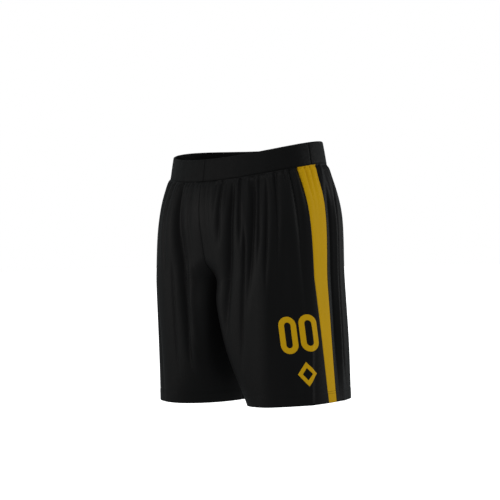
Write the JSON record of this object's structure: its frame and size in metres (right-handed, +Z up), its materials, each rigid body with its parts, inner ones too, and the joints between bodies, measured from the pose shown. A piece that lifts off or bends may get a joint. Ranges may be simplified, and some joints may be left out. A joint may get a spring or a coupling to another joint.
{
  "type": "boxing shorts",
  "caption": "Loose knee-length sports shorts in worn shape, with a gathered elastic waistband, side stripes and bonded numerals on one leg.",
  "frame": {"origin": "centre of the waist opening at the height of its side rims", "axes": "+Z up out of the waist opening, -Y towards the wearer's front, +X towards the wearer's left"},
  "size_m": [0.416, 0.2679, 0.5024],
  "materials": {
    "shell_fabric": "satin",
    "band_fabric": "matte",
    "stripe_fabric": "satin",
    "transfer_film": "satin",
    "elastic": "matte",
    "thread": "satin",
    "label_fabric": "satin"
  },
  "bodies": {
    "root": {"front_panel_left": "shell_fabric", "front_panel_right": "shell_fabric", "back_panel_left": "shell_fabric", "back_panel_right": "shell_fabric", "side_stripe_left": "stripe_fabric", "side_stripe_right": "stripe_fabric", "waistband_front_left": "band_fabric", "waistband_front_right": "band_fabric", "waistband_back_left": "band_fabric", "waistband_back_right": "band_fabric", "waist_elastic": "elastic", "numeral_front": "transfer_film", "numeral_rear": "transfer_film", "emblem": "transfer_film", "care_label": "label_fabric", "hem_stitching_left": "thread", "hem_stitching_right": "thread", "waist_seam_stitching": "thread", "rise_stitching": "thread"}
  },
  "joints": []
}
